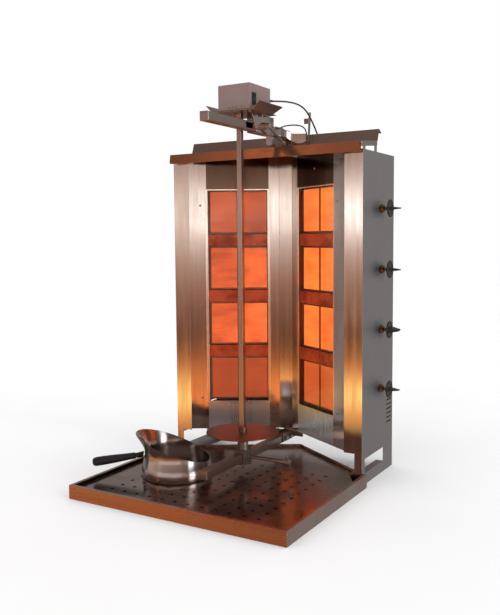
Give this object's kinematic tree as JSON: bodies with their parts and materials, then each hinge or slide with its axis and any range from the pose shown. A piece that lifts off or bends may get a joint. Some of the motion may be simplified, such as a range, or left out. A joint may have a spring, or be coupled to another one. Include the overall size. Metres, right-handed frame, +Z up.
{
  "type": "doner kebab grill",
  "caption": "Upright gas doner grill: V of heating walls in a steel cabinet, hood, motor-driven spit with meat disc, side knobs, drip tray with perforated insert and catch pan.",
  "frame": {"origin": "on the floor under the middle of the cabinet's front edge", "axes": "+Z up, +X to the right seen from the front, +Y to the back"},
  "size_m": [0.7763, 0.789, 1.178],
  "materials": {
    "stainless_sheet": "brushed",
    "grey_side_sheet": "matt brushed",
    "bright_trim": "polished",
    "mirror_steel": "polished",
    "glass": "clear",
    "ceramic": "glowing perforated ceramic",
    "burner_sheet": "heat tinted",
    "brass": "turned",
    "gas_pipe": "yellow painted",
    "copper_pipe": "drawn",
    "black_plastic": "glossy black",
    "dark_plastic": "matt black",
    "cover_paint": "satin grey paint",
    "bar_steel": "drawn bar",
    "cast_block": "machined",
    "zinc": "zinc plated",
    "disc_steel": "satin",
    "cable_rubber": "matt"
  },
  "bodies": {
    "cabinet": {"side_panel_left": "grey_side_sheet", "side_panel_right": "grey_side_sheet", "back_panel": "grey_side_sheet", "top_plate": "stainless_sheet", "bottom_plate": "stainless_sheet", "centre_post": "stainless_sheet", "heating_wall_left": "stainless_sheet", "heating_wall_right": "stainless_sheet", "window_trims": "bright_trim", "glass_panes": "glass", "burner_rails": "burner_sheet", "glass_clips": "burner_sheet", "burner_bridges": "mirror_steel", "burner_casings": "burner_sheet", "ceramic_plaques": "ceramic", "gas_injectors": "brass", "gas_manifold": "gas_pipe", "gas_inlet": "brass", "gas_valves": "brass", "burner_pipes": "copper_pipe", "hood": "stainless_sheet", "hood_brackets": "stainless_sheet", "upper_arm": "stainless_sheet", "arm_caps": "dark_plastic", "upper_arm_bracket": "stainless_sheet", "arm_bolts": "zinc", "cable_support": "zinc", "cable_grommet": "dark_plastic", "lower_arm": "stainless_sheet", "lower_arm_mount": "stainless_sheet", "motor_cable": "cable_rubber"},
    "motor_carriage": {"motor_saddle": "stainless_sheet", "motor_plate": "stainless_sheet", "motor_cover": "cover_paint", "gearmotor": "cast_block", "switch_frame": "dark_plastic", "cable_gland": "dark_plastic", "motor_screws": "zinc"},
    "drive": {"drive_socket": "bar_steel"},
    "switch": {"rocker_switch": "black_plastic"},
    "upper_clamp": {"upper_clamp_lever": "zinc"},
    "spit_carriage": {"lower_carriage": "cast_block", "spit_bearing": "bar_steel"},
    "lower_clamp": {"lower_clamp_screw": "zinc"},
    "turning_spit": {"spit": "bar_steel", "meat_disc": "disc_steel", "spit_hub": "bar_steel"},
    "tray": {"drip_tray": "stainless_sheet"},
    "insert": {"tray_insert": "mirror_steel"},
    "catch_pan": {"pan_body": "mirror_steel", "pan_ferrule": "bar_steel", "pan_handle": "black_plastic"},
    "knob_1": {"gas_knob_1": "black_plastic", "knob_spindle_1": "brass"},
    "knob_2": {"gas_knob_2": "black_plastic", "knob_spindle_2": "brass"},
    "knob_3": {"gas_knob_3": "black_plastic", "knob_spindle_3": "brass"},
    "knob_4": {"gas_knob_4": "black_plastic", "knob_spindle_4": "brass"}
  },
  "joints": [
    {"name": "motor_slide", "type": "slide", "parent": "cabinet", "child": "motor_carriage", "axis": [0, 1, 0], "range_m": [-0.12, 0], "deforming": ["motor_cable"]},
    {"name": "spit_carriage_slide", "type": "slide", "parent": "cabinet", "child": "spit_carriage", "axis": [0, 1, 0], "range_m": [-0.12, 0]},
    {"name": "spit_turn", "type": "hinge", "parent": "spit_carriage", "child": "turning_spit", "pos_m": [0, -0.125, 0.15], "axis": [0, 0, 1], "continuous": true},
    {"name": "drive_turn", "type": "hinge", "parent": "motor_carriage", "child": "drive", "pos_m": [0, -0.125, 1.115], "axis": [0, 0, 1], "continuous": true},
    {"name": "switch_rock", "type": "hinge", "parent": "motor_carriage", "child": "switch", "pos_m": [0.049, -0.135, 1.135], "axis": [0, -1, 0], "range_deg": [0, 15]},
    {"name": "upper_clamp_turn", "type": "hinge", "parent": "motor_carriage", "child": "upper_clamp", "pos_m": [0.05, -0.058, 1.067], "axis": [1, 0, 0], "range_deg": [0, 60]},
    {"name": "lower_clamp_turn", "type": "hinge", "parent": "spit_carriage", "child": "lower_clamp", "pos_m": [0.1, -0.125, 0.08], "axis": [1, 0, 0], "range_deg": [0, 360]},
    {"name": "knob_1_turn", "type": "hinge", "parent": "cabinet", "child": "knob_1", "pos_m": [0.335, 0.151, 0.82265], "axis": [1, 0, 0], "range_deg": [0, 180]},
    {"name": "knob_2_turn", "type": "hinge", "parent": "cabinet", "child": "knob_2", "pos_m": [0.335, 0.151, 0.63798], "axis": [1, 0, 0], "range_deg": [0, 180]},
    {"name": "knob_3_turn", "type": "hinge", "parent": "cabinet", "child": "knob_3", "pos_m": [0.335, 0.151, 0.45332], "axis": [1, 0, 0], "range_deg": [0, 180]},
    {"name": "knob_4_turn", "type": "hinge", "parent": "cabinet", "child": "knob_4", "pos_m": [0.335, 0.151, 0.26865], "axis": [1, 0, 0], "range_deg": [0, 180]},
    {"name": "tray_slide", "type": "slide", "parent": "cabinet", "child": "tray", "axis": [0, -1, 0], "range_m": [0, 0.4]},
    {"name": "insert_lift", "type": "slide", "parent": "tray", "child": "insert", "axis": [0, 0, 1], "range_m": [0, 0.015]},
    {"name": "pan_lift", "type": "slide", "parent": "insert", "child": "catch_pan", "axis": [0, 0, 1], "range_m": [0, 0.03]}
  ],
  "couplings": [
    {"joint": "motor_slide", "follows": "spit_carriage_slide", "ratio": 1},
    {"joint": "drive_turn", "follows": "spit_turn", "ratio": 1}
  ]
}
